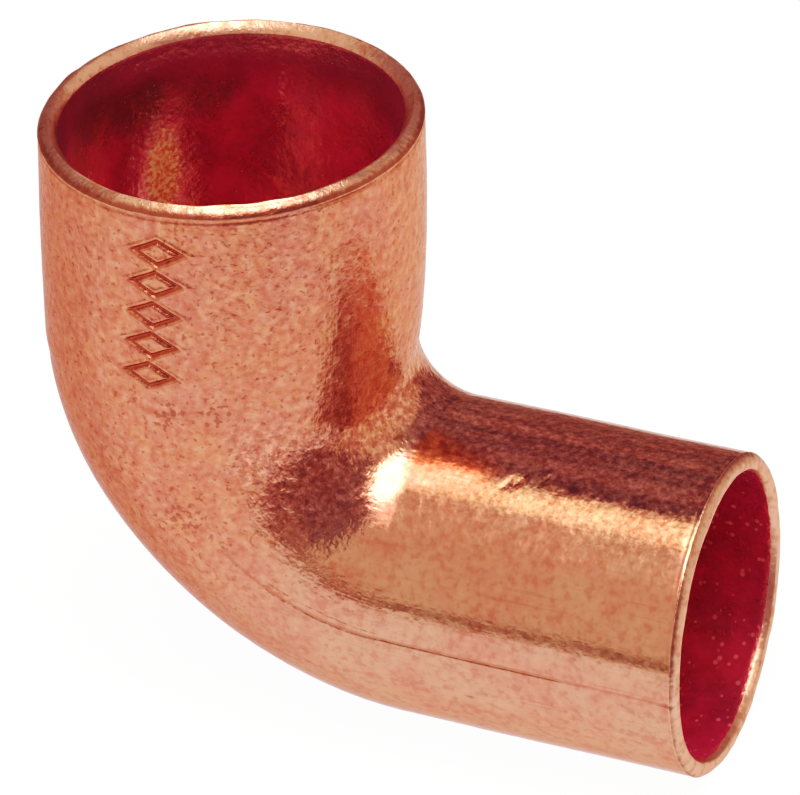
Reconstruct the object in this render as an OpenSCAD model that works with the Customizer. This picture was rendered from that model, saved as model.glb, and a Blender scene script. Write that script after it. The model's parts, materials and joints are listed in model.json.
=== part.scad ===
// Street elbow: a one-piece 90 degree bend for soldered copper tube.
// The cup takes the end of a tube. The plain spigot has the tube's own diameter
// and goes into the cup of another fitting.
// Origin: centre of the tube stop at the bottom of the cup. The cup opens along +Z
// and the spigot points along +X.

/* [Spigot] */
// Outside diameter of the spigot, which is the tube's diameter
spigot_od = 15.88; // [13:0.01:17]
// Wall thickness of the spigot and of the bend below the taper
spigot_wall = 0.9; // [0.6:0.05:1.5]
// Length of the straight spigot, from the bend to its end
spigot_length = 15; // [10:0.5:40]

/* [Cup] */
// Outside diameter of the cup
cup_od = 18.5; // [18:0.1:22]
// Bore of the cup: the tube's diameter and a capillary gap for the solder
cup_bore = 15.95; // [15.5:0.01:17.2]
// Depth of the cup, from its mouth to the tube stop
cup_depth = 12.7; // [6:0.1:30]
// How far the tube stop steps in from the cup bore
stop_step = 0.35; // [0.15:0.05:0.6]
// Height of the straight land below the tube stop
stop_land = 0.55; // [0.3:0.05:3]

/* [Bend] */
// Radius of the throat, on the inside of the bend
throat_radius = 1.15; // [0.8:0.05:12]
// Share of the bend that the cup takes to taper down to the spigot
taper_share = 0.6; // [0.3:0.05:1]

/* [Ends] */
// Chamfer on the outside edge of both ends
outer_chamfer = 0.35; // [0.1:0.05:0.4]
// Chamfer on the inside edge of both ends, left by deburring
inner_chamfer = 0.25; // [0.05:0.05:0.3]

/* [Hidden] */

copper = [0.84, 0.55, 0.41];
$fn = 120;
bend_steps = 24;
bend_sides = 60;
bend_angle = 90;
// The bend's skins sit this far inside the metal of the two tubes, so that they meet the
// tubes' ends in a narrow ring all round.
seam_ring = 0.02;

spigot_r = spigot_od / 2;
spigot_bore_r = spigot_r - spigot_wall;
cup_r = cup_od / 2;
cup_bore_r = cup_bore / 2;
land_r = cup_bore_r - stop_step;

// The bend turns about this line, which runs along Y inside the throat's arc.
pivot = [cup_r + throat_radius, 0, -stop_land];
spigot_drop = stop_land + throat_radius + spigot_r;

// 1 at the cup, easing to 0 where the taper ends.
function eased(u) = pow(1 - pow(u, 1.5), 2.5);
function taper(angle) = eased(min(1, angle / (bend_angle * taper_share)));
function outer_r(angle) = spigot_r + (cup_r - spigot_r) * taper(angle);
function inner_r(angle) = spigot_bore_r + (land_r - spigot_bore_r) * taper(angle);
// Corner radius of a ring of the inner skin, whose flats clear a circle of that radius.
function around(radius) = radius / cos(180 / bend_sides);

// Direction from the pivot out to the heel of the bend.
function to_heel(angle) = [-cos(angle), 0, -sin(angle)];

// One ring of points round the tube, half a step off the heel so that none lies on a
// seam. Its throat side stays on the throat's arc, and the heel sweeps in from the cup.
function ring(angle, radius) =
    let (out = to_heel(angle), centre = pivot + out * (throat_radius + outer_r(angle)))
    [for (k = [0:bend_sides - 1])
        let (a = 360 * (k + 0.5) / bend_sides)
        centre + radius * (cos(a) * out + [0, sin(a), 0])];

// Straight tube along +Z. The profile runs up the outside and back down the bore.
module tube(outer, bore, foot, length) {
    rotate_extrude()
        polygon(concat(
            [[outer, foot],
             [outer, length - outer_chamfer],
             [outer - outer_chamfer, length],
             [bore + inner_chamfer, length],
             [bore, length - inner_chamfer]],
            foot < 0
                ? [[bore, 0], [land_r, 0], [land_r, foot]]
                : [[bore, foot]]));
}

// Cup, with the tube stop and the straight land under it.
module cup() {
    tube(cup_r, cup_bore_r, -stop_land, cup_depth);
}

// Straight spigot.
module spigot() {
    translate([pivot[0], 0, -spigot_drop])
        rotate([0, 90, 0])
            tube(spigot_r, spigot_bore_r, 0, spigot_length);
}

// Shell of the bend: rings along the outer skin from cup to spigot, then back along the
// inner skin, joined in a closed loop.
module bend() {
    turns = [for (i = [0:bend_steps]) bend_angle * i / bend_steps];
    rings = concat(
        [for (i = [0:bend_steps]) ring(turns[i], outer_r(turns[i]) - seam_ring)],
        [for (i = [bend_steps:-1:0]) ring(turns[i], around(inner_r(turns[i]) + seam_ring))]);
    count = len(rings);
    polyhedron(
        points = [for (r = rings) each r],
        faces = [for (i = [0:count - 1], k = [0:bend_sides - 1])
            let (a = i * bend_sides, b = (i + 1) % count * bend_sides, next = (k + 1) % bend_sides)
            [a + k, b + k, b + next, a + next]]);
}

// The whole elbow is one seamless piece of tube.
module elbow_body() {
    color(copper)
        union() {
            cup();
            bend();
            spigot();
        }
}

elbow_body();
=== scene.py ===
import json
import math

import bpy
import numpy as np
from mathutils import Matrix, Vector


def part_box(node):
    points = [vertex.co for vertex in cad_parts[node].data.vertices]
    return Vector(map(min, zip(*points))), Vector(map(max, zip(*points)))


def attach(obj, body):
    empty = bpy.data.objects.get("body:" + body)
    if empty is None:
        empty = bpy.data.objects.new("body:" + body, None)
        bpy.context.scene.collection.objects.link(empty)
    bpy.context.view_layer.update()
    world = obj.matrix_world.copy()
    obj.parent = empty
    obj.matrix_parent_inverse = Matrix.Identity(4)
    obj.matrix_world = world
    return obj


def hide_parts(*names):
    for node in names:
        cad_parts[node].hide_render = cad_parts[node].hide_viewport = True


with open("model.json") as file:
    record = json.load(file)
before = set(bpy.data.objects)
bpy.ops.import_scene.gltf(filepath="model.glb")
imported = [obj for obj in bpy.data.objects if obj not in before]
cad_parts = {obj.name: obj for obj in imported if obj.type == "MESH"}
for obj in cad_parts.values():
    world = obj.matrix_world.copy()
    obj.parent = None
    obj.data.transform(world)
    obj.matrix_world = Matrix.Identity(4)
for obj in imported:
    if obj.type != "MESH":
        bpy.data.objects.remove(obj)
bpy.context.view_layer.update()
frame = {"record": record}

# A copper street elbow. One fine mesh stands for the CAD node, with the marks of a real,
# hand-worked piece in its shape: uneven deburred rims, a drawn-in shoulder and neck, stamped
# marks, scratches and nicks. Lengths are millimetres until the mesh is written in metres.
#
# "along" is the distance from the mouth down the middle of the tube. An angle round the tube is
# in degrees: 0 is the heel of the bend, 180 its throat and 270 the side towards -Y.
MM = 0.001

# ---------------------------------------------------------------- sizes, from the frame
MOUNTS = {mount["name"]: mount for mount in frame["record"]["mounts"]}
CUP_MOUNT = MOUNTS["cup_socket"]
SPIGOT_MOUNT = MOUNTS["spigot_end"]
LOW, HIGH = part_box("elbow_body")
CUP_R = HIGH.y / MM
MOUTH_Z = HIGH.z / MM
SPIGOT_END = HIGH.x / MM
CUP_BORE_R = CUP_MOUNT["dims"]["r_mm"]
SPIGOT_R = SPIGOT_MOUNT["dims"]["r_mm"]
AXIS_Z = SPIGOT_MOUNT["pos_m"][2] / MM

# ---------------------------------------------------------------- wall and tube stop
SPIGOT_WALL = 0.9
STOP_STEP = 0.35
STOP_ROUND = 0.25

# ---------------------------------------------------------------- how the worked piece differs
THROAT_R = 1.95          # radius of the throat
SHOULDER_IN = 0.56       # the cup's throat side draws in by this much above the throat
SHOULDER_RUN = 4.5       # and eases back over about this length
NECK_IN = 0.11           # the spigot is this much slimmer in radius at the bend than at its end
NECK_RUN = 15.0
CUP_LEAN = -0.15         # sideways shift of the mouth
CUP_BARREL = 0.07        # the cup is this much fuller in radius at half its height
TAPER_START = -0.065     # where the taper starts and ends, in shares of the bend
TAPER_END = 1.0
TAPER_EASE = (1.5, 3.3)
MID_RUN = 16.0           # length of the bend along its middle
BORE_FLARE = 0.36        # how far the bore opens out at the mouth, where it was reamed
FLARE_DEPTH = 2.0

# slopes of the two ends, which were trimmed slightly out of square
MOUTH_SLOPE_X = math.tan(math.radians(3.0))
MOUTH_SLOPE_Y = math.tan(math.radians(0.7))
END_SLOPE_Y = math.tan(math.radians(-2.5))
END_SLOPE_Z = math.tan(math.radians(-1.0))

MOUTH_CHAMFER = 0.46     # outside edges
END_CHAMFER = 0.30
MOUTH_BEVEL = 0.35       # inside edges
END_BEVEL = 0.14

PIVOT_X = CUP_R + THROAT_R - SHOULDER_IN
PIVOT_Z = AXIS_Z + SPIGOT_R + THROAT_R - NECK_IN
CUP_HEIGHT = MOUTH_Z - PIVOT_Z
SPIGOT_LENGTH = SPIGOT_END - PIVOT_X
BEND_END = CUP_HEIGHT + MID_RUN
TOTAL_RUN = BEND_END + SPIGOT_LENGTH

# ---------------------------------------------------------------- how fine the mesh is
SIDES = 560
FINE_AT = 270            # points crowd round the stamped side
FINE_SPREAD = 32
FINE_GAIN = 1.4
OUTER_STEPS = (184, 170, 110)      # rings of the cup, bend and spigot
INNER_STEPS = (60, 60, 50)
MOUTH_STEPS = (9, 7, 9)            # rings of a rim's chamfer, face and bevel
END_STEPS = (7, 7, 5)


# ---------------------------------------------------------------- repeatable noise
def lattice(ix, iy, iz, seed):
    """A number from -1 to 1 for each lattice point."""
    mixed = (ix * 374761393 + iy * 668265263 + iz * 1440662683 + seed * 974634777) & 0xFFFFFFFF
    mixed = ((mixed ^ (mixed >> 13)) * 1274126177) & 0xFFFFFFFF
    return ((mixed ^ (mixed >> 16)) & 0xFFFF) / 32767.5 - 1.0


def noise(points, size, seed):
    """Smooth noise from -1 to 1 at points, whose features are about size across."""
    scaled = points / size
    cell = np.floor(scaled).astype(np.int64)
    t = scaled - cell
    t = t * t * (3 - 2 * t)
    total = 0.0
    for corner in range(8):
        step = np.array([corner & 1, corner >> 1 & 1, corner >> 2 & 1])
        weight = np.prod(np.where(step == 1, t, 1 - t), axis=-1)
        at = cell + step
        total = total + weight * lattice(at[..., 0], at[..., 1], at[..., 2], seed)
    return total


def layered(points, size, seed, layers):
    """Noise with finer layers added, each half the size and half the height of the last."""
    return sum(noise(points, size / 2 ** k, seed + k) / 2 ** k for k in range(layers))


def smooth(low_edge, high_edge, x):
    """0 below low_edge, 1 above high_edge, easing between."""
    t = np.clip((x - low_edge) / (high_edge - low_edge), 0, 1)
    return t * t * (3 - 2 * t)


# ---------------------------------------------------------------- the tube's path
def taper(share):
    """1 at the cup's radius and 0 at the spigot's, for shares of the bend."""
    u = np.clip((share - TAPER_START) / (TAPER_END - TAPER_START), 0, 1)
    return (1 - u ** TAPER_EASE[0]) ** TAPER_EASE[1]


def cup_sections(height):
    """Centre (x, z), direction to the heel (x, z) and outer radius at heights above the bend."""
    lean = CUP_LEAN * height / CUP_HEIGHT
    throat = CUP_R - SHOULDER_IN * np.exp(-height / SHOULDER_RUN) + lean
    heel = -(CUP_R - 2 * (CUP_R - SPIGOT_R) * (1 - taper(-height / MID_RUN))) + lean
    centre = np.stack([(throat + heel) / 2, PIVOT_Z + height], axis=1)
    barrel = CUP_BARREL * np.sin(np.pi * np.clip(height / CUP_HEIGHT, 0, 1))
    return centre, np.tile([-1.0, 0.0], (len(height), 1)), (throat - heel) / 2 + barrel


def bend_sections(share):
    """The same at shares of the bend, 0 at the cup and 1 at the spigot."""
    slim = SPIGOT_R - NECK_IN
    radius = slim + (CUP_R - SHOULDER_IN / 2 - slim) * taper(share)
    angle = share * math.pi / 2
    heel = np.stack([-np.cos(angle), -np.sin(angle)], axis=1)
    centre = np.array([PIVOT_X, PIVOT_Z]) + heel * (THROAT_R + radius)[:, None]
    return centre, heel, radius


def spigot_sections(run):
    """The same at distances past the bend."""
    radius = SPIGOT_R - NECK_IN * np.exp(-run / NECK_RUN)
    centre = np.stack([PIVOT_X + run, np.full(len(run), AXIS_Z)], axis=1)
    return centre, np.tile([0.0, -1.0], (len(run), 1)), radius


def path(steps):
    """Sections from the cup's mouth to the spigot's end, short of the chamfers, and each one's
    distance along the tube."""
    heights = np.linspace(CUP_HEIGHT - MOUTH_CHAMFER, 0, steps[0], endpoint=False)
    shares = np.linspace(0, 1, steps[1], endpoint=False)
    runs = np.linspace(0, SPIGOT_LENGTH - END_CHAMFER, steps[2])
    parts = [cup_sections(heights), bend_sections(shares), spigot_sections(runs)]
    centre, heel, radius = (np.concatenate([part[k] for part in parts]) for k in range(3))
    along = np.concatenate([CUP_HEIGHT - heights, CUP_HEIGHT + shares * MID_RUN, BEND_END + runs])
    return centre, heel, radius, along


def crowded_angles():
    """Angles round the tube, closest together on the stamped side."""
    even = np.linspace(0, 360, 7201)
    crowd = 1 + FINE_GAIN * np.exp(-((even - FINE_AT) / FINE_SPREAD) ** 2)
    total = np.concatenate([[0], np.cumsum((crowd[1:] + crowd[:-1]) / 2)])
    return np.radians(np.interp(np.arange(SIDES) / SIDES, total / total[-1], even))


ANGLES = crowded_angles()


def turned_from(radians):
    """Signed angle round the tube from the given one."""
    return (ANGLES - radians + math.pi) % (2 * math.pi) - math.pi


# ---------------------------------------------------------------- rings of points
OUTSIDE, RIM, INSIDE = 0, 1, 2
KEPT = ("centre", "heel", "radius", "shift", "pressed", "stain", "rubbed_and_painted_glow", "along", "region")


class Rings:
    """Rings of points round the tube, kept as radius and shift along the axis for every point."""

    def __init__(self, centre, heel, radius, along, region):
        self.centre = centre
        self.heel = heel
        self.radius = np.repeat(radius[:, None], SIDES, axis=1)
        self.shift = np.zeros_like(self.radius)
        self.pressed = np.zeros_like(self.radius)      # 1 in the bottom of a mark and at a rim's outer edge, darkened there by grime and painted shade
        self.stain = np.zeros_like(self.radius)        # 1 in the middle of a smudge
        self.rubbed_and_painted_glow = np.zeros_like(self.radius)         # 1 where the outside is rubbed smooth, and inside, 1 in the patches of painted glow
        self.along = along
        self.region = np.full(len(along), region)

    def points(self):
        """Every point's place."""
        out = self.radius * np.cos(ANGLES)
        to_spigot = np.stack([-self.heel[:, 1], self.heel[:, 0]], axis=1)
        x = self.centre[:, :1] + out * self.heel[:, :1] + self.shift * to_spigot[:, :1]
        z = self.centre[:, 1:] + out * self.heel[:, 1:] + self.shift * to_spigot[:, 1:]
        return np.stack([x, self.radius * np.sin(ANGLES), z], axis=2)

    def tube_points(self):
        """Where each point would be if the tube were straight and all of one size, for marks
        that follow the tube."""
        across = np.stack([np.cos(ANGLES), np.sin(ANGLES)], axis=1) * SPIGOT_R
        flat = np.empty(self.radius.shape + (3,))
        flat[..., :2] = across[None]
        flat[..., 2] = self.along[:, None] + self.shift
        return flat


def joined(pieces):
    whole = Rings.__new__(Rings)
    for name in KEPT:
        setattr(whole, name, np.concatenate([getattr(piece, name) for piece in pieces]))
    return whole


def reversed_rings(rings):
    for name in KEPT:
        setattr(rings, name, getattr(rings, name)[::-1].copy())
    return rings


# ---------------------------------------------------------------- shapes of single marks
BANK_HEIGHT = 0.35       # banks thrown up beside a groove, as a share of its depth
BANK_SPREAD = 2.4        # and of its width
RIDGE_HEIGHT = 0.3       # ridges beside a stamped stroke, as a share of its depth
RIDGE_AT = 2.1           # and their distance from it, in stroke widths


def groove(rings, along, degrees, width, depth):
    """A groove down the tube. along and degrees are matching lists of places it passes."""
    course = np.radians(np.interp(rings.along, along, degrees))
    within = (rings.along > along[0]) & (rings.along < along[-1])
    across = turned_from(course[:, None]) * rings.radius
    start = smooth(along[0], along[0] + 1, rings.along)
    finish = 1 - smooth(along[-1] - 1, along[-1], rings.along)
    bank = BANK_HEIGHT * np.exp(-(across / (BANK_SPREAD * width)) ** 2)
    profile = np.exp(-(across / width) ** 2) - bank
    return -depth * profile * (start * finish * within)[:, None]


def lozenge(rings, along, degrees, half_tall, half_wide, stroke, depth):
    """The pressed outline of a lozenge."""
    across = turned_from(math.radians(degrees))[None] * rings.radius
    down = rings.along[:, None] - along
    edge = (np.abs(across) / half_wide + np.abs(down) / half_tall - 1) * min(half_tall, half_wide)
    ridge = RIDGE_HEIGHT * np.exp(-((np.abs(edge) - RIDGE_AT * stroke) / stroke) ** 2)
    return -depth * (np.exp(-(edge / stroke) ** 2) - ridge)


def spot(rings, along, degrees, half_long, half_wide, slant=0.0):
    """1 in the middle of an oval, fading to 0."""
    across = turned_from(math.radians(degrees))[None] * rings.radius
    down = rings.along[:, None] - along + slant * across
    return np.exp(-(across / half_wide) ** 2 - (down / half_long) ** 2)


# ---------------------------------------------------------------- marks on the outside
# waves in the drawn surface, by height, size and seed, and a finer grain
WAVES = ((0.030, 7.0, 1), (0.010, 2.6, 2))
GRAIN_SIZE, GRAIN_SEED, GRAIN_LAYERS = 0.9, 3, 2
GRAIN_HEIGHT = 0.002
CUP_GRAIN_HEIGHT = 0.004           # added on the cup

# a column of plain stamped lozenges down the cup
STAMP_COUNT = 5
STAMP_ALONG, STAMP_PITCH = 2.5, 1.75
STAMP_DEGREES, STAMP_DRIFT = 269.0, 0.9
STAMP_HALF_TALL, STAMP_HALF_WIDE = 0.64, 1.2
STAMP_STROKE, STAMP_DEPTH = 0.12, 0.14

# fine slanting ripples beside the stamps, left by the die
RIPPLE_ALONG, RIPPLE_DEGREES = 5.5, 247
RIPPLE_HALF_LONG, RIPPLE_HALF_WIDE = 2.6, 0.9
RIPPLE_PITCH, RIPPLE_HEIGHT = 0.42, 0.007
RIPPLE_DOWN, RIPPLE_ROUND = 0.9, 0.5

# the burr rolled over an end's edge, and the groove under it
BURR_HEIGHT, BURR_WIDTH = 0.035, 0.07
UNDERCUT_DEPTH, UNDERCUT_WIDTH, UNDERCUT_AT = 0.06, 0.08, 0.17
MOUTH_BURR, END_BURR = 1.0, 0.5

# scratches, by distances past the start of the bend, degrees, width and depth: one long one
# that runs on to the spigot, and finer ones beside it
SCRATCHES = (
    ((6.5, 10.6, 16.0, 24.0, 28.0, 31.8), (273.5, 273, 271.5, 271.9, 272.2, 272.7), 0.14, 0.055),
    ((24.0, 28.0, 30.5), (274.0, 273.6, 274.2), 0.10, 0.022),
    ((9.0, 13.0, 21.0), (270.5, 269, 270), 0.09, 0.025),
    ((2.5, 8.0, 13.0), (281, 285, 290), 0.07, 0.012),
)

# draw lines down the cup, by degrees
DRAW_LINES = (245.5, 243.6, 241.2)
DRAW_LINE_RUN = (1.4, 5.0, 9.6)
DRAW_LINE_DRIFT = 0.3
DRAW_LINE_WIDTH, DRAW_LINE_DEPTH = 0.05, 0.012

# nicks on the spigot's upper side and a pit lower down, by distance past the bend and degrees
NICKS = ((4.75, 205), (5.2, 204), (6.6, 199))
NICK_DEPTH, NICK_HALF_LONG, NICK_HALF_WIDE, NICK_SLANT = 0.042, 0.13, 0.42, 0.5
PIT_RUN, PIT_DEGREES = 4.35, 290
PIT_DEPTH, PIT_HALF_LONG, PIT_HALF_WIDE = 0.05, 0.26, 0.13

# grime and painted shade start to darken marks of the first depth, and fill those of the second
SHADED_DEPTHS = (0.008, 0.06)

# brown smudges, by distance along, degrees and size: two below the stamps, one on the bend and
# one beside the mouth
SMUDGES = ((11.4, 253, 0.9), (11.8, 268, 1.1), (CUP_HEIGHT + 5.0, 277, 1.3), (1.2, 262, 0.9))

# a rubbed place beside the throat
POLISHED_ALONG, POLISHED_DEGREES = CUP_HEIGHT + 14.0, 214
POLISHED_HALF_LONG, POLISHED_HALF_WIDE = 3.6, 1.7


def drawn_surface(spots, along):
    """Waves and grain of the drawn surface."""
    cupward = 1 - smooth(CUP_HEIGHT, CUP_HEIGHT + MID_RUN * 0.6, along)[:, None]
    relief = sum(height * noise(spots, size, seed) for height, size, seed in WAVES)
    grain = layered(spots, GRAIN_SIZE, GRAIN_SEED, GRAIN_LAYERS)
    relief += (GRAIN_HEIGHT + CUP_GRAIN_HEIGHT * cupward) * grain
    return relief


def ripples(rings):
    across = turned_from(math.radians(RIPPLE_DEGREES))[None] * rings.radius
    along = rings.along[:, None]
    down = along - RIPPLE_ALONG
    beside = np.exp(-(across / RIPPLE_HALF_WIDE) ** 2 - (down / RIPPLE_HALF_LONG) ** 2)
    phase = 2 * np.pi * (RIPPLE_DOWN * along + RIPPLE_ROUND * across) / RIPPLE_PITCH
    return RIPPLE_HEIGHT * beside * np.sin(phase)


def stamp(rings, marks):
    for row in range(STAMP_COUNT):
        along = STAMP_ALONG + row * STAMP_PITCH
        degrees = STAMP_DEGREES + row * STAMP_DRIFT
        marks += lozenge(rings, along, degrees, STAMP_HALF_TALL, STAMP_HALF_WIDE,
                         STAMP_STROKE, STAMP_DEPTH)


def roll_edges(rings, spots, relief, marks):
    """A burr rolled over each end's edge, and the groove under it."""
    ragged = 0.6 + 0.4 * noise(spots, 1.3, 9)
    from_mouth = rings.along[:, None] - MOUTH_CHAMFER
    from_end = TOTAL_RUN - END_CHAMFER - rings.along[:, None]
    for under, size in ((from_mouth, MOUTH_BURR), (from_end, END_BURR)):
        relief += size * ragged * BURR_HEIGHT * np.exp(-(under / BURR_WIDTH) ** 2)
        undercut = np.exp(-((under - UNDERCUT_AT) / UNDERCUT_WIDTH) ** 2)
        marks -= size * ragged * UNDERCUT_DEPTH * undercut


def scratch(rings, relief, marks):
    """Scratches, draw lines, nicks and a pit."""
    for runs, degrees, width, depth in SCRATCHES:
        marks += groove(rings, CUP_HEIGHT + np.array(runs), degrees, width, depth)
    for degrees in DRAW_LINES:
        course = (degrees, degrees, degrees - DRAW_LINE_DRIFT)
        marks += groove(rings, DRAW_LINE_RUN, course, DRAW_LINE_WIDTH, DRAW_LINE_DEPTH)
    for run, degrees in NICKS:
        relief -= NICK_DEPTH * spot(rings, BEND_END + run, degrees, NICK_HALF_LONG,
                                    NICK_HALF_WIDE, NICK_SLANT)
    marks -= PIT_DEPTH * spot(rings, BEND_END + PIT_RUN, PIT_DEGREES, PIT_HALF_LONG,
                              PIT_HALF_WIDE)


def outer_skin():
    centre, heel, radius, along = path(OUTER_STEPS)
    rings = Rings(centre, heel, radius, along, OUTSIDE)
    spots = rings.points()
    relief = drawn_surface(spots, along) + ripples(rings)
    marks = np.zeros_like(relief)
    stamp(rings, marks)
    roll_edges(rings, spots, relief, marks)
    scratch(rings, relief, marks)
    # grime and painted shade in the hollows of the marks, deeper ones darker
    rings.pressed = smooth(*SHADED_DEPTHS, -marks)
    for place, degrees, size in SMUDGES:
        rings.stain += spot(rings, place, degrees, size, size)
    rings.rubbed_and_painted_glow = spot(rings, POLISHED_ALONG, POLISHED_DEGREES, POLISHED_HALF_LONG,
                      POLISHED_HALF_WIDE)
    rings.radius += relief + marks
    return rings


# ---------------------------------------------------------------- the inside
# waves in the bore, by height, size and seed, and a finer grain
BORE_WAVE_HEIGHT, BORE_WAVE_SIZE, BORE_WAVE_SEED = 0.020, 3.5, 21
BORE_GRAIN_HEIGHT, BORE_GRAIN_SIZE, BORE_GRAIN_SEED, BORE_GRAIN_LAYERS = 0.014, 0.8, 22, 2

# patches of painted glow down one side of the cup, a painted reflection of light from deeper in
# the bore, and dark tarnish above them, by depth from the mouth, degrees, half length, half width
# and strength
GLOW_PATCHES = ((7.6, 41, 3.4, 1.25, 1.0), (6.2, 6, 1.4, 0.5, 0.6), (4.0, 84, 3.2, 0.5, 0.42))
TARNISH = ((2.0, 10, 2.6, 4.2, 0.7), (3.2, 33, 1.0, 1.3, 0.7), (3.6, 58, 2.0, 2.2, 0.4))


def bore_radius(outer_radius, along):
    """Bore of the cup as far as the tube stop, then an inner skin that follows the outer one."""
    stop = CUP_HEIGHT + PIVOT_Z            # the tube stop is at z = 0, the mount's foot
    land_r = CUP_BORE_R - STOP_STEP
    spigot_bore_r = SPIGOT_R - SPIGOT_WALL
    bend_r = spigot_bore_r + (land_r - spigot_bore_r) * taper((along - CUP_HEIGHT) / MID_RUN)
    step = smooth(stop - STOP_ROUND, stop + STOP_ROUND, along)
    radius = CUP_BORE_R * (1 - step) + np.minimum(bend_r, outer_radius - SPIGOT_WALL) * step
    return radius + BORE_FLARE * (1 - smooth(0, FLARE_DEPTH, along))


def inner_skin():
    centre, heel, radius, along = path(INNER_STEPS)
    rings = Rings(centre, heel, bore_radius(radius, along), along, INSIDE)
    spots = rings.points()
    uneven = BORE_WAVE_HEIGHT * noise(spots, BORE_WAVE_SIZE, BORE_WAVE_SEED)
    grain = layered(spots, BORE_GRAIN_SIZE, BORE_GRAIN_SEED, BORE_GRAIN_LAYERS)
    uneven += BORE_GRAIN_HEIGHT * grain
    rings.radius += uneven * smooth(0, FLARE_DEPTH * 2, along)[:, None]
    # patches of painted glow, a painted reflection on the bore
    for depth, degrees, half_long, half_wide, strength in GLOW_PATCHES:
        rings.rubbed_and_painted_glow += strength * spot(rings, depth, degrees, half_long, half_wide)
    for depth, degrees, half_long, half_wide, strength in TARNISH:
        rings.stain += strength * spot(rings, depth, degrees, half_long, half_wide)
    return rings


# ---------------------------------------------------------------- the rims
MOUTH_SEED, END_SEED = 40, 50
NOISE_CIRCLE_R = 6       # noise round a rim is taken on a circle of this radius
LIP_WAVE = 0.025         # how far the rim's face rises and falls
FACE_CROWN = 0.05
CHAMFER_CROWN = 0.10     # as a share of the chamfer
BEVEL_CROWN = 0.06       # as a share of the bevel


def rim_rows(outer_r, inner_r, chamfer, bevel, steps, seed):
    """Radius, height and edge darkening of each ring of the cut end, from the outside in: chamfer,
    crowned face and bevel, all unevenly deburred. The darkening, grime with painted shade, is 1
    at the chamfer's outer edge."""
    circle = np.stack([np.cos(ANGLES), np.sin(ANGLES), np.zeros(SIDES)], axis=1) * NOISE_CIRCLE_R
    cut = chamfer * (1 + 0.20 * noise(circle, 3.0, seed) + 0.14 * noise(circle, 0.7, seed + 1))
    lip = LIP_WAVE * noise(circle, 1.1, seed + 3)
    inner_uneven = 1 + 0.16 * noise(circle, 2.5, seed + 2) + 0.08 * noise(circle, 0.6, seed + 4)
    inner_cut = bevel * inner_uneven
    face = outer_r - cut - inner_r - inner_cut
    chamfer_steps, face_steps, bevel_steps = steps
    rows = []
    for t in np.linspace(0, 1, chamfer_steps, endpoint=False)[1:]:
        bulge = CHAMFER_CROWN * chamfer * math.sin(math.pi * t)
        rows.append((outer_r - cut * t + bulge, (chamfer + lip) * t + bulge, 1 - t))
    for t in np.linspace(0, 1, face_steps, endpoint=False):
        crown = FACE_CROWN * math.sin(math.pi * t)
        rows.append((outer_r - cut - face * t, chamfer + lip + crown, 0))
    for t in np.linspace(0, 1, bevel_steps, endpoint=False):
        bulge = BEVEL_CROWN * bevel * math.sin(math.pi * t)
        radius = inner_r + inner_cut * (1 - t) - bulge
        rows.append((radius, (chamfer + lip) * (1 - t) + bulge, 0))
    return rows


def rim(outer, inner, end, chamfer, bevel, steps, seed):
    """The cut end between two skins. end is -1 for the mouth and 1 for the spigot's end."""
    side = 0 if end < 0 else -1
    rows = rim_rows(outer.radius[side], inner.radius[side], chamfer, bevel, steps, seed)
    count = len(rows)
    centre = np.repeat(outer.centre[side][None], count, 0)
    heel = np.repeat(outer.heel[side][None], count, 0)
    rings = Rings(centre, heel, np.zeros(count), np.full(count, outer.along[side]), RIM)
    for k, (radius, shift, grime_and_edge_shade) in enumerate(rows):
        rings.radius[k] = radius
        rings.shift[k] = end * shift
        # grime and painted shade along the chamfer's outer edge
        rings.pressed[k] = grime_and_edge_shade * chamfer / MOUTH_CHAMFER
    spots = rings.points()
    scraped = 0.009 * noise(spots, 0.5, seed + 5) + 0.004 * noise(spots, 0.2, seed + 6)
    rings.radius += scraped
    rings.shift += end * scraped
    return rings


# ---------------------------------------------------------------- the elbow's mesh
def slope_ends(rings):
    """Trims both ends out of square."""
    spots = rings.points()
    x, y, z = (spots[..., k] for k in range(3))
    near_mouth = 1 - smooth(0, CUP_HEIGHT, rings.along)[:, None]
    near_end = smooth(BEND_END, TOTAL_RUN, rings.along)[:, None]
    rings.shift -= near_mouth * (MOUTH_SLOPE_X * x + MOUTH_SLOPE_Y * y)
    rings.shift += near_end * (END_SLOPE_Y * y + END_SLOPE_Z * (z - AXIS_Z))


def elbow_rings():
    """One closed loop of rings: mouth rim, outside, end rim, then back along the inside."""
    outer = outer_skin()
    inner = inner_skin()
    mouth = rim(outer, inner, -1, MOUTH_CHAMFER, MOUTH_BEVEL, MOUTH_STEPS, MOUTH_SEED)
    end = rim(outer, inner, 1, END_CHAMFER, END_BEVEL, END_STEPS, END_SEED)
    rings = joined([reversed_rings(mouth), outer, end, reversed_rings(inner)])
    slope_ends(rings)
    return rings


def quads(count):
    """Vertex numbers of the faces that join count rings in a closed loop."""
    ring, side = np.meshgrid(np.arange(count), np.arange(SIDES), indexing="ij")
    next_ring = (ring + 1) % count
    next_side = (side + 1) % SIDES
    corners = [ring * SIDES + side, ring * SIDES + next_side,
               next_ring * SIDES + next_side, next_ring * SIDES + side]
    return np.stack(corners, axis=2).reshape(-1, 4)


def quad_mesh(name, vertices, faces):
    mesh = bpy.data.meshes.new(name)
    mesh.vertices.add(len(vertices))
    mesh.vertices.foreach_set("co", vertices.astype(np.float32).ravel())
    mesh.loops.add(faces.size)
    mesh.loops.foreach_set("vertex_index", faces.astype(np.int32).ravel())
    mesh.polygons.add(len(faces))
    mesh.polygons.foreach_set("loop_start", np.arange(0, faces.size, 4, dtype=np.int32))
    mesh.polygons.foreach_set("loop_total", np.full(len(faces), 4, dtype=np.int32))
    mesh.update(calc_edges=True)
    mesh.validate()
    mesh.polygons.foreach_set("use_smooth", np.ones(len(faces), dtype=bool))
    return mesh


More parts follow.
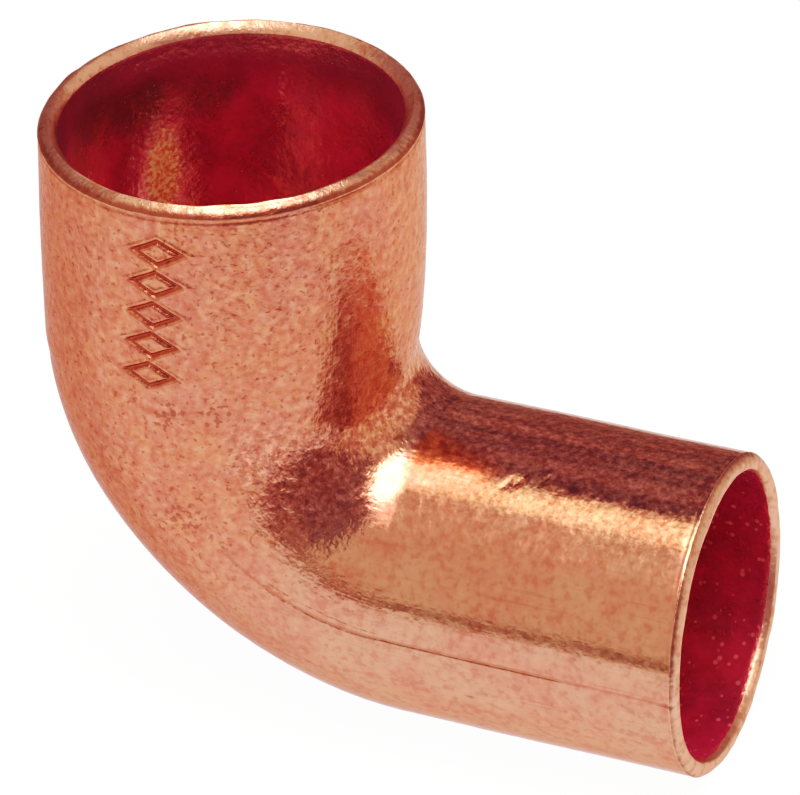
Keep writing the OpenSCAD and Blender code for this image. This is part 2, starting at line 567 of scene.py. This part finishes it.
def face_materials(region):
    """Material of each face. A face that touches a rim's ring is the rim's."""
    after = np.roll(region, -1)
    of_ring = np.where((region == RIM) | (after == RIM), RIM, np.maximum(region, after))
    return np.repeat(of_ring, SIDES).astype(np.int32)


def elbow_mesh(name):
    rings = elbow_rings()
    vertices = (rings.points() * MM).reshape(-1, 3)
    mesh = quad_mesh(name, vertices, quads(len(rings.along)))
    mesh.polygons.foreach_set("material_index", face_materials(rings.region))
    tube = mesh.attributes.new("tube", "FLOAT_VECTOR", "POINT")
    tube.data.foreach_set("vector", rings.tube_points().astype(np.float32).ravel())
    for mark in ("pressed", "stain", "rubbed_and_painted_glow"):
        values = mesh.attributes.new(mark, "FLOAT", "POINT")
        values.data.foreach_set("value", getattr(rings, mark).astype(np.float32).ravel())
    return mesh


# ---------------------------------------------------------------- node trees
X, Y, Z = 0, 1, 2


class Nodes:
    """Builds a node tree. Inputs are given by name, or by number as i0, i1 and so on, each as a
    value or as another node's output."""

    def __init__(self, tree):
        self.tree = tree
        tree.nodes.clear()

    def add(self, kind, settings=None, out=0, **inputs):
        node = self.tree.nodes.new(kind)
        for key, value in (settings or {}).items():
            setattr(node, key, value)
        for key, value in inputs.items():
            numbered = key[0] == "i" and key[1:].isdigit()
            self.put(node.inputs[int(key[1:]) if numbered else key.replace("_", " ")], value)
        return node.outputs[out] if node.outputs else None

    def put(self, socket, value):
        if isinstance(value, bpy.types.NodeSocket):
            self.tree.links.new(value, socket)
        else:
            socket.default_value = value

    def math(self, operation, a, b=0.0, c=0.0):
        return self.add("ShaderNodeMath", {"operation": operation}, i0=a, i1=b, i2=c)

    def times(self, a, b):
        return self.math("MULTIPLY", a, b)

    def plus(self, a, b, gain):
        """a + gain * b."""
        return self.math("MULTIPLY_ADD", b, gain, a)

    def less(self, value, gain=1.0):
        """1 - gain * value."""
        return self.math("MULTIPLY_ADD", value, -gain, 1.0)

    def ease(self, value, low_edge, high_edge, low_value=0.0, high_value=1.0):
        """low_value up to low_edge and high_value from high_edge on, easing between."""
        return self.add("ShaderNodeMapRange", {"interpolation_type": "SMOOTHSTEP"}, Value=value,
                        From_Min=low_edge, From_Max=high_edge, To_Min=low_value, To_Max=high_value)

    def mix(self, share, a, b, blend="MIX"):
        node = self.tree.nodes.new("ShaderNodeMix")
        node.data_type = "RGBA"
        node.blend_type = blend
        self.put(node.inputs[0], share)
        self.put(node.inputs[6], a)
        self.put(node.inputs[7], b)
        return node.outputs[2]

    def noise(self, place, scale, detail, rough=0.5, distort=0.0):
        return self.add("ShaderNodeTexNoise", Vector=place, Scale=scale, Detail=detail,
                        Roughness=rough, Distortion=distort)

    def stretched(self, place, scale):
        return self.add("ShaderNodeVectorMath", {"operation": "MULTIPLY"}, i0=place, i1=scale)

    def part_of(self, vector, axis):
        return self.add("ShaderNodeSeparateXYZ", out=axis, Vector=vector)

    def place(self):
        """Place on the object, in millimetres."""
        return self.stretched(self.add("ShaderNodeTexCoord", out="Object"), (1 / MM,) * 3)

    def tube(self):
        """Place on the tube as if it were straight: x and y across, z along."""
        return self.add("ShaderNodeAttribute", {"attribute_name": "tube"}, out="Vector")

    def mark(self, name):
        return self.add("ShaderNodeAttribute", {"attribute_name": name}, out="Fac")


def new_material(name):
    material = bpy.data.materials.new(name)
    material.use_nodes = True
    return material, Nodes(material.node_tree)


def colour(red, green, blue):
    return (red, green, blue, 1.0)


WHITE = colour(1.0, 1.0, 1.0)
EDGE_TINT = colour(0.94, 0.76, 0.64)           # keeps the copper's hue where it is seen edge-on

# ---------------------------------------------------------------- copper outside
CUP_COPPER = colour(0.735, 0.292, 0.186)
SPIGOT_COPPER = colour(0.725, 0.380, 0.264)
PINK_CLOUD = colour(0.71, 0.285, 0.212)
ORANGE_BLOT = colour(0.79, 0.37, 0.205)
RED_BLOT = colour(0.66, 0.225, 0.165)
DARK_GRAIN = colour(0.58, 0.18, 0.12)
PALE_GRAIN = colour(0.82, 0.43, 0.29)
DARK_MOTTLE = colour(0.46, 0.15, 0.13)
PALE_MOTTLE = colour(1.0, 0.50, 0.36)
STREAK = colour(0.58, 0.22, 0.15)
SPECK = colour(0.40, 0.11, 0.075)
# grime and painted shade in the hollows of marks
GRIME_AND_SHADE = colour(0.42, 0.10, 0.06)
ORANGE_PEEL = 0.05 * MM                        # height of the bump
SPIGOT_CALM = 0.58                             # how much of the blots and pocks the spigot loses


def copper_tones(n, place, spigot):
    """A redder cup and a tan spigot, with pink clouds, blots and grain. The red channel hardly
    changes, the others do."""
    clouds = n.noise(place, 0.35, 4, 0.6)
    blots = n.noise(place, 1.0, 2, 0.85, 0.3)
    grain = n.noise(place, 2.5, 1)
    blotted = n.less(spigot, SPIGOT_CALM)
    grained = n.less(spigot, 0.3)
    base = n.mix(spigot, CUP_COPPER, SPIGOT_COPPER)
    base = n.mix(n.ease(clouds, 0.40, 0.62, 0, 0.6), base, PINK_CLOUD)
    base = n.mix(n.times(n.ease(blots, 0.46, 0.76, 0, 0.6), blotted), base, ORANGE_BLOT)
    base = n.mix(n.times(n.ease(blots, 0.54, 0.26, 0, 0.6), blotted), base, RED_BLOT)
    base = n.mix(n.times(n.ease(grain, 0.50, 0.70, 0, 0.5), grained), base, DARK_GRAIN)
    return n.mix(n.times(n.ease(grain, 0.49, 0.28, 0, 0.45), grained), base, PALE_GRAIN)


def throat_mottle(n, base, place, tube, polished):
    """The throat's side is mottled more strongly, except where it is rubbed smooth."""
    along = n.part_of(tube, Z)
    border = n.ease(along, CUP_HEIGHT + 7, BEND_END - 2, -2.6, -6.2)
    throat = n.ease(n.math("SUBTRACT", border, n.part_of(tube, X)), -1.0, 1.0)
    throat = n.times(throat, n.ease(along, CUP_HEIGHT - 4, CUP_HEIGHT + 4))
    throat = n.times(throat, n.less(polished, 0.8))
    mottle = n.noise(place, 3.2, 2, 0.65)
    base = n.mix(n.times(n.ease(mottle, 0.50, 0.36, 0, 0.65), throat), base, DARK_MOTTLE)
    return n.mix(n.times(n.ease(mottle, 0.52, 0.66, 0, 0.75), throat), base, PALE_MOTTLE)


def specks_grime_and_shade(n, base, place, spigot):
    """Red-brown specks, most of them in the smudges, and grime with painted shade in the pressed
    marks.
    """
    crowded = n.plus(n.noise(place, 3.6, 1), n.mark("stain"), 0.12)
    speck = n.times(n.ease(crowded, 0.61, 0.74, 0, 0.6), n.less(spigot, 0.8))
    base = n.mix(speck, base, SPECK)
    # painted shade, with grime, in the hollows of the pressed marks
    return n.mix(n.times(n.mark("pressed"), 0.7), base, GRIME_AND_SHADE)


def outside_bump(n, place, streaks, along, spigot, polished):
    """Orange peel, grain, draw marks and sparse pocks. The bump is lighter on the spigot and
    where the copper is rubbed smooth."""
    pocks = n.ease(n.noise(place, 2.4, 1), 0.60, 0.72)
    height = n.times(n.noise(place, 1.4, 1), 0.62)
    height = n.plus(height, n.noise(place, 3.6, 1), 0.42)
    height = n.plus(height, streaks, 0.30)
    height = n.plus(height, n.times(pocks, n.less(spigot, SPIGOT_CALM)), -0.20)
    straight = n.ease(along, BEND_END - 6, BEND_END + 4)
    strength = n.times(n.less(straight, 0.7), n.less(polished, 0.7))
    return n.add("ShaderNodeBump", Strength=strength, Distance=ORANGE_PEEL, Height=height)


def copper_outside():
    material, n = new_material("copper_outside")
    place = n.place()
    tube = n.tube()
    along = n.part_of(tube, Z)
    polished = n.mark("rubbed_and_painted_glow")
    bend = n.ease(along, CUP_HEIGHT - 2, CUP_HEIGHT + 4)
    spigot = n.ease(along, CUP_HEIGHT + 4, BEND_END - 3)
    streaks = n.noise(n.stretched(tube, (3.2, 3.2, 0.16)), 1.0, 4, 0.6)

    base = copper_tones(n, place, spigot)
    base = throat_mottle(n, base, place, tube, polished)
    base = n.mix(n.ease(streaks, 0.58, 0.72, 0, 0.4), base, STREAK)
    base = specks_grime_and_shade(n, base, place, spigot)

    bump = outside_bump(n, place, streaks, along, spigot, polished)
    rough = n.ease(n.noise(place, 2.4, 2, 0.6), 0.35, 0.7, 0.22, 0.33)
    rough = n.plus(rough, bend, -0.05)
    rough = n.plus(rough, spigot, -0.07)
    surface = n.add("ShaderNodeBsdfPrincipled", Base_Color=base, Metallic=1.0, Roughness=rough,
                    Specular_Tint=EDGE_TINT, Normal=bump)
    n.add("ShaderNodeOutputMaterial", Surface=surface)
    return material


# ---------------------------------------------------------------- copper rim
RIM_PALE = colour(0.82, 0.47, 0.33)
RIM_TAN = colour(0.70, 0.33, 0.22)
RIM_MARK = colour(0.48, 0.15, 0.10)
# grime, and painted shade at the chamfer's outer edge
RIM_GRIME_AND_SHADE = colour(0.42, 0.13, 0.09)
RIM_SCRAPES = 0.035 * MM                       # height of the bump


def copper_rim():
    """Brighter, freshly cut copper, with grime and painted shade towards the chamfer's outer edge.
    """
    material, n = new_material("copper_rim")
    place = n.place()
    blots = n.noise(place, 1.6, 4, 0.6)
    marks = n.noise(place, 3.0, 3, 0.6)
    # grime in blots, and painted shade along the chamfer's outer edge
    grime_and_edge_shade = n.ease(n.plus(n.mark("pressed"), marks, 0.7), 0.55, 1.1, 0, 0.85)
    base = n.mix(n.ease(blots, 0.46, 0.68), RIM_PALE, RIM_TAN)
    base = n.mix(n.ease(marks, 0.58, 0.72, 0, 0.4), base, RIM_MARK)
    base = n.mix(grime_and_edge_shade, base, RIM_GRIME_AND_SHADE)
    scrapes = n.noise(place, 4.0, 3, 0.6)
    bump = n.add("ShaderNodeBump", Strength=1.0, Distance=RIM_SCRAPES, Height=scrapes)
    rough = n.ease(blots, 0.35, 0.7, 0.28, 0.42)
    surface = n.add("ShaderNodeBsdfPrincipled", Base_Color=base, Metallic=1.0, Roughness=rough,
                    Specular_Tint=EDGE_TINT, Normal=bump)
    n.add("ShaderNodeOutputMaterial", Surface=surface)
    return material


# ---------------------------------------------------------------- copper inside
CRIMSON = colour(0.78, 0.075, 0.23)
DEEP_CRIMSON = colour(0.52, 0.06, 0.18)
TARNISHED = colour(0.17, 0.085, 0.11)
# painted shade near the mouth
MOUTH_SHADE = colour(0.27, 0.035, 0.07)
PALE_FLECK = colour(0.95, 0.40, 0.33)
# colours of the painted glow, a painted reflection
GLOW_RED = colour(0.80, 0.22, 0.10)
GLOW_PALE = colour(1.0, 0.66, 0.36)
BARE_COPPER = colour(0.93, 0.43, 0.30)
BORE_GRAIN = 0.04 * MM                         # height of the bump


def oxide_film(n, place, mouth):
    """Crimson clouds, darker where the bore is tarnished, with painted shade near the mouth."""
    clouds = n.noise(place, 0.4, 3)
    film = n.mix(n.ease(clouds, 0.38, 0.64), CRIMSON, DEEP_CRIMSON)
    film = n.mix(n.ease(n.plus(n.mark("stain"), clouds, 0.6), 0.35, 1.1), film, TARNISHED)
    # painted shade near the mouth, where the flared bore would catch the light
    return n.mix(n.times(mouth, 0.9), film, MOUTH_SHADE)


def pale_flecks(n, place, along):
    """Round flecks, tiny in the cup and larger in the spigot."""
    size = n.ease(along, CUP_HEIGHT, BEND_END, 0.05, 0.16)
    size = n.times(size, n.ease(n.noise(place, 0.8, 1), 0.35, 0.62, 0.4, 1.6))
    from_centre = n.add("ShaderNodeTexVoronoi", out="Distance", Vector=place, Scale=1.9)
    return n.ease(n.math("SUBTRACT", size, from_centre), -0.06, 0.08, 0, 0.6)


def copper_inside():
    """Copper under a thin crimson oxide: a matt red film over a coarse, shiny ground, with patches
    of painted glow that stand for a reflection of light from deeper in the bore.
    """
    material, n = new_material("copper_inside")
    place = n.place()
    along = n.part_of(n.tube(), Z)
    # near the mouth: painted shade in the film, and less of the shiny ground
    mouth = n.ease(along, FLARE_DEPTH * 2.2, FLARE_DEPTH * 0.4)
    grain = n.noise(place, 4.2, 2, 0.6)
    flecks = pale_flecks(n, place, along)
    # patches of painted glow, a painted reflection of light from deeper in the bore
    glow_patch = n.ease(n.plus(n.mark("rubbed_and_painted_glow"), grain, 0.8), 0.72, 1.2)

    film = oxide_film(n, place, mouth)
    film = n.mix(flecks, film, PALE_FLECK)
    film = n.mix(glow_patch, film, n.mix(n.ease(grain, 0.35, 0.65), GLOW_RED, GLOW_PALE))

    height = n.plus(n.noise(place, 1.6, 3), grain, 0.5)
    bump = n.add("ShaderNodeBump", Strength=1.0, Distance=BORE_GRAIN, Height=height)
    red = n.add("ShaderNodeBsdfPrincipled", Base_Color=film, Roughness=0.7,
                Specular_IOR_Level=0.2, Normal=bump)
    bare = n.add("ShaderNodeBsdfPrincipled", Base_Color=BARE_COPPER, Metallic=1.0, Roughness=0.2,
                 Normal=bump)
    bareness = n.ease(n.noise(place, 0.9, 3, 0.6), 0.35, 0.65, 0.48, 0.62)
    bareness = n.times(bareness, n.less(n.math("MAXIMUM", glow_patch, flecks)))
    bareness = n.times(bareness, n.less(mouth, 0.6))
    surface = n.add("ShaderNodeMixShader", i0=bareness, i1=red, i2=bare)
    n.add("ShaderNodeOutputMaterial", Surface=surface)
    return material


# ---------------------------------------------------------------- camera
VIEW_AZIMUTH = 23.2
VIEW_ELEVATION = 32.1
VIEW_ROLL = -0.63
VIEW_DISTANCE = 598.0
LENS = 554.6
SENSOR_WIDTH = 36.0
AIM_RIGHT = 7.74         # from the crossing of the two axes, across the picture
AIM_UP = 5.31


def direction(azimuth, elevation):
    """Unit vector from the object. Azimuth 0 is towards -Y and 90 towards +X."""
    a = math.radians(azimuth)
    e = math.radians(elevation)
    return Vector((math.sin(a) * math.cos(e), -math.cos(a) * math.cos(e), math.sin(e)))


def make_camera():
    back = direction(VIEW_AZIMUTH, VIEW_ELEVATION)
    right = Vector((0, 0, 1)).cross(back).normalized()
    up = back.cross(right)
    aim = Vector((0, 0, AXIS_Z)) + right * AIM_RIGHT + up * AIM_UP
    data = bpy.data.cameras.new("camera")
    data.lens = LENS
    data.sensor_width = SENSOR_WIDTH
    data.clip_start = 0.01
    data.clip_end = 10.0
    camera = bpy.data.objects.new("camera", data)
    bpy.context.scene.collection.objects.link(camera)
    place = Matrix((right, up, back)).transposed().to_4x4()
    place = place @ Matrix.Rotation(math.radians(VIEW_ROLL), 4, "Z")
    place.translation = (aim + back * VIEW_DISTANCE) * MM
    camera.matrix_world = place
    bpy.context.scene.camera = camera


# ---------------------------------------------------------------- floor
FLOOR_HALF = 0.6         # metres
FLOOR_CORNERS = ((-1, -1), (1, -1), (1, 1), (-1, 1))
FLOOR_SHADE = colour(0.06, 0.06, 0.06)
FLOOR_GLOW = 0.955


def make_floor():
    """Near white, with a faint shadow. The copper doesn't reflect it: the light tent has its own
    white sheet below."""
    mesh = bpy.data.meshes.new("floor")
    corners = [(x * FLOOR_HALF, y * FLOOR_HALF, LOW.z) for x, y in FLOOR_CORNERS]
    mesh.from_pydata(corners, [], [(0, 1, 2, 3)])
    floor = bpy.data.objects.new("floor", mesh)
    bpy.context.scene.collection.objects.link(floor)
    floor.visible_glossy = False
    floor.visible_diffuse = False
    material, n = new_material("pale_floor")
    matt = n.add("ShaderNodeBsdfDiffuse", Color=FLOOR_SHADE)
    glow = n.add("ShaderNodeEmission", Color=WHITE, Strength=FLOOR_GLOW)
    n.add("ShaderNodeOutputMaterial", Surface=n.add("ShaderNodeAddShader", i0=matt, i1=glow))
    mesh.materials.append(material)


# ---------------------------------------------------------------- light
TENT_WALL = colour(0.78, 0.72, 0.68)
TENT_SHEET = colour(0.96, 1.0, 1.06)           # the white sheet that the object stands on
TENT_SIDE = colour(0.80, 0.72, 0.80)
SHEET_EDGE = colour(0.38, 0.32, 0.30)
ROOM_DARK = colour(0.20, 0.15, 0.24)           # the room seen through gaps in the tent
ROOM_PALE = colour(0.54, 0.42, 0.46)
CURTAIN = colour(0.44, 0.36, 0.38)
FRONT_LAMP = colour(1.6, 1.55, 1.45)
SIDE_LAMP = colour(1.8, 2.05, 1.5)
SOFT_BOX = colour(4.6, 4.6, 4.3)
SECOND_BOUNCE = colour(1.2, 1.85, 2.4)
SECOND_BOUNCE_DEPTH = 2.5                      # a ray's depth is 2 after one bounce, 3 after two


class Tent:
    """Regions of the light tent round the object, by direction in degrees."""

    def __init__(self, nodes):
        self.nodes = nodes
        self.ray = nodes.add("ShaderNodeTexCoord", out="Generated")
        self.x, self.y, z = (nodes.part_of(self.ray, axis) for axis in (X, Y, Z))
        self.elevation = nodes.math("DEGREES", nodes.math("ARCSINE", z))

    def turned(self, azimuth):
        """Degrees round from the given azimuth, either way."""
        n = self.nodes
        a = math.radians(azimuth)
        ahead = n.math("ADD", n.times(self.x, math.sin(a)), n.times(self.y, -math.cos(a)))
        aside = n.math("ADD", n.times(self.x, math.cos(a)), n.times(self.y, math.sin(a)))
        return n.math("ABSOLUTE", n.math("DEGREES", n.math("ARCTAN2", aside, ahead)))

    def panel(self, azimuth, half_width, foot, top, soft):
        """1 inside a panel of the wall, 0 outside. soft is half the width of its edges."""
        n = self.nodes
        wide = n.ease(self.turned(azimuth), half_width + soft, half_width - soft)
        above = n.ease(self.elevation, foot - soft, foot + soft)
        below = n.ease(self.elevation, top + soft, top - soft)
        return n.times(wide, n.times(above, below))

    def lamp(self, azimuth, elevation, inner, outer):
        """1 within inner degrees of a direction, 0 beyond outer degrees."""
        n = self.nodes
        near = n.add("ShaderNodeVectorMath", {"operation": "DOT_PRODUCT"}, out="Value",
                     i0=self.ray, i1=direction(azimuth, elevation))
        return n.ease(near, math.cos(math.radians(outer)), math.cos(math.radians(inner)))


def tent_light(n):
    """A light tent: a white sheet below, pale walls, lamps overhead, and dark gaps behind the
    object and where the camera stands. Each region covers the ones before it."""
    tent = Tent(n)
    clutter = n.noise(tent.ray, 9.0, 2, 0.6)
    room = n.mix(n.ease(clutter, 0.36, 0.64), ROOM_DARK, ROOM_PALE)
    regions = (
        (tent.panel(azimuth=-115, half_width=40, foot=-60, top=-18, soft=18), TENT_SIDE),
        (tent.panel(azimuth=-28, half_width=33, foot=-12.5, top=-6.5, soft=1.5), SHEET_EDGE),
        (tent.panel(azimuth=40, half_width=35, foot=-20, top=48, soft=2.5), room),
        (tent.lamp(azimuth=-8, elevation=54, inner=4, outer=14), FRONT_LAMP),
        (tent.lamp(azimuth=-60, elevation=77, inner=5, outer=14), SIDE_LAMP),
        (tent.panel(azimuth=-158, half_width=52, foot=-15, top=74, soft=2.5), room),
        (tent.panel(azimuth=132, half_width=24, foot=47, top=76, soft=4), CURTAIN),
        (tent.panel(azimuth=-98, half_width=21, foot=0, top=47, soft=6), room),
        (tent.lamp(azimuth=28, elevation=73, inner=13, outer=24), SOFT_BOX),
    )
    light = n.mix(n.ease(tent.elevation, -12, -18), TENT_WALL, TENT_SHEET)
    for region, shade in regions:
        light = n.mix(region, light, shade)
    return light


def make_light():
    world = bpy.data.worlds.new("studio")
    bpy.context.scene.world = world
    world.use_nodes = True
    n = Nodes(world.node_tree)
    light = tent_light(n)

    # dull copper seen in dull copper is paler than in a clean mirror, so light that reaches the
    # camera by two bounces or more is lifted
    depth = n.add("ShaderNodeLightPath", out="Ray Depth")
    bounced_twice = n.math("GREATER_THAN", depth, SECOND_BOUNCE_DEPTH)
    light = n.mix(bounced_twice, light, n.mix(1.0, light, SECOND_BOUNCE, "MULTIPLY"))

    seen = n.add("ShaderNodeLightPath", out="Is Camera Ray")
    light = n.mix(seen, light, WHITE)
    surface = n.add("ShaderNodeBackground", Color=light, Strength=1.0)
    n.add("ShaderNodeOutputWorld", Surface=surface)


# ---------------------------------------------------------------- contrast
CONTRAST = ((0.05, 0.015), (0.10, 0.045), (0.15, 0.093), (0.20, 0.16), (0.27, 0.255),
            (0.38, 0.40), (0.6, 0.62))
COMBINED = 3             # the curve that acts on all three channels


def set_contrast():
    """A print-like contrast curve: deep shadows, nearly straight above them."""
    view = bpy.context.scene.view_settings
    view.view_transform = "Standard"
    view.use_curve_mapping = True
    curve = view.curve_mapping.curves[COMBINED]
    for value_in, value_out in CONTRAST:
        curve.points.new(value_in, value_out)
    view.curve_mapping.update()


# ---------------------------------------------------------------- the scene
elbow = bpy.data.objects.new("elbow_skin", elbow_mesh("elbow_skin"))
bpy.context.scene.collection.objects.link(elbow)
for finish in (copper_outside(), copper_rim(), copper_inside()):
    elbow.data.materials.append(finish)
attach(elbow, "root")
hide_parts("elbow_body")

make_floor()
make_light()
make_camera()
set_contrast()
